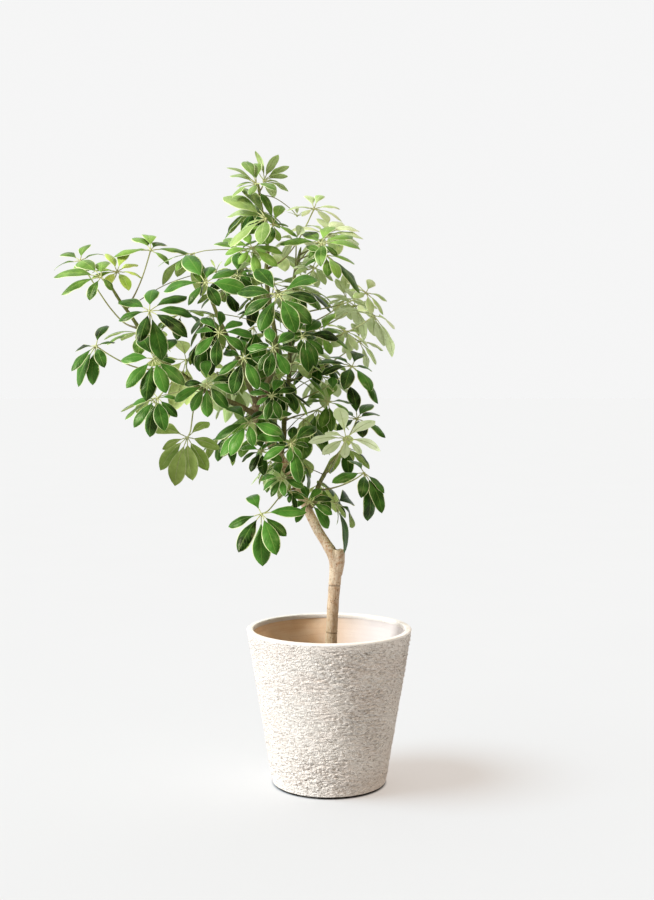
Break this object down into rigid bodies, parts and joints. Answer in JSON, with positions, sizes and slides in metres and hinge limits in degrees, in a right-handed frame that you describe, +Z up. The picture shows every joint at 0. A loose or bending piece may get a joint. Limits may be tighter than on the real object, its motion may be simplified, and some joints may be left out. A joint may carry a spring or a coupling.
{
  "type": "potted umbrella plant",
  "caption": "Bushy umbrella plant with palmate glossy green leaves on thin stalks, a kinked bare trunk with side stems, and soil in a plain tapered clay pot.",
  "frame": {"origin": "middle of the pot's underside, on the surface that the pot stands on", "axes": "+Z up along the pot's axis, -Y towards the front that the picture shows, +X to the picture's right"},
  "size_m": [0.6026, 0.3758, 1.0674],
  "materials": {
    "clay": "rough combed unglazed clay",
    "soil": "crumbly dry potting soil",
    "bark": "tan bark with ring scars",
    "green_stem": "smooth green-brown skin",
    "leaf": "waxy, half glossy, with a pale margin",
    "pale_leaf": "paler and half glossy, with matt undersides",
    "young_leaf": "soft yellow-green, half glossy"
  },
  "bodies": {
    "root": {"pot": "clay", "soil": "soil", "trunk": "bark", "stem_low_right": "green_stem", "stem_right": "green_stem", "stem_top": "green_stem", "stem_left": "green_stem", "stem_middle": "green_stem", "leaf_front_1": "leaf", "leaf_front_2": "leaf", "leaf_front_3": "leaf", "leaf_front_4": "leaf", "leaf_front_5": "leaf", "leaf_front_6": "leaf", "leaf_front_7": "leaf", "leaf_low_1": "leaf", "leaf_low_2": "leaf", "leaf_low_3": "leaf", "leaf_low_4": "leaf", "leaf_right_1": "leaf", "leaf_right_2": "pale_leaf", "leaf_right_3": "leaf", "leaf_right_4": "leaf", "leaf_right_5": "leaf", "leaf_right_6": "leaf", "leaf_right_7": "leaf", "leaf_right_8": "pale_leaf", "leaf_right_9": "pale_leaf", "leaf_right_10": "pale_leaf", "leaf_right_11": "pale_leaf", "leaf_right_12": "pale_leaf", "leaf_right_13": "pale_leaf", "leaf_top_1": "leaf", "leaf_top_2": "pale_leaf", "leaf_top_3": "leaf", "leaf_top_4": "leaf", "leaf_top_5": "pale_leaf", "leaf_top_6": "leaf", "leaf_top_7": "leaf", "leaf_top_8": "leaf", "leaf_top_9": "leaf", "leaf_top_10": "pale_leaf", "leaf_centre_1": "leaf", "leaf_centre_2": "leaf", "leaf_centre_3": "leaf", "leaf_centre_4": "leaf", "leaf_centre_5": "leaf", "leaf_left_1": "young_leaf", "leaf_left_2": "leaf", "leaf_left_3": "young_leaf", "leaf_left_4": "leaf", "leaf_left_5": "leaf", "leaf_left_6": "leaf", "leaf_left_7": "leaf", "leaf_left_8": "leaf", "leaf_left_9": "young_leaf", "leaf_left_10": "leaf", "leaf_left_11": "leaf", "leaf_back_1": "leaf", "leaf_back_2": "leaf"}
  },
  "joints": []
}
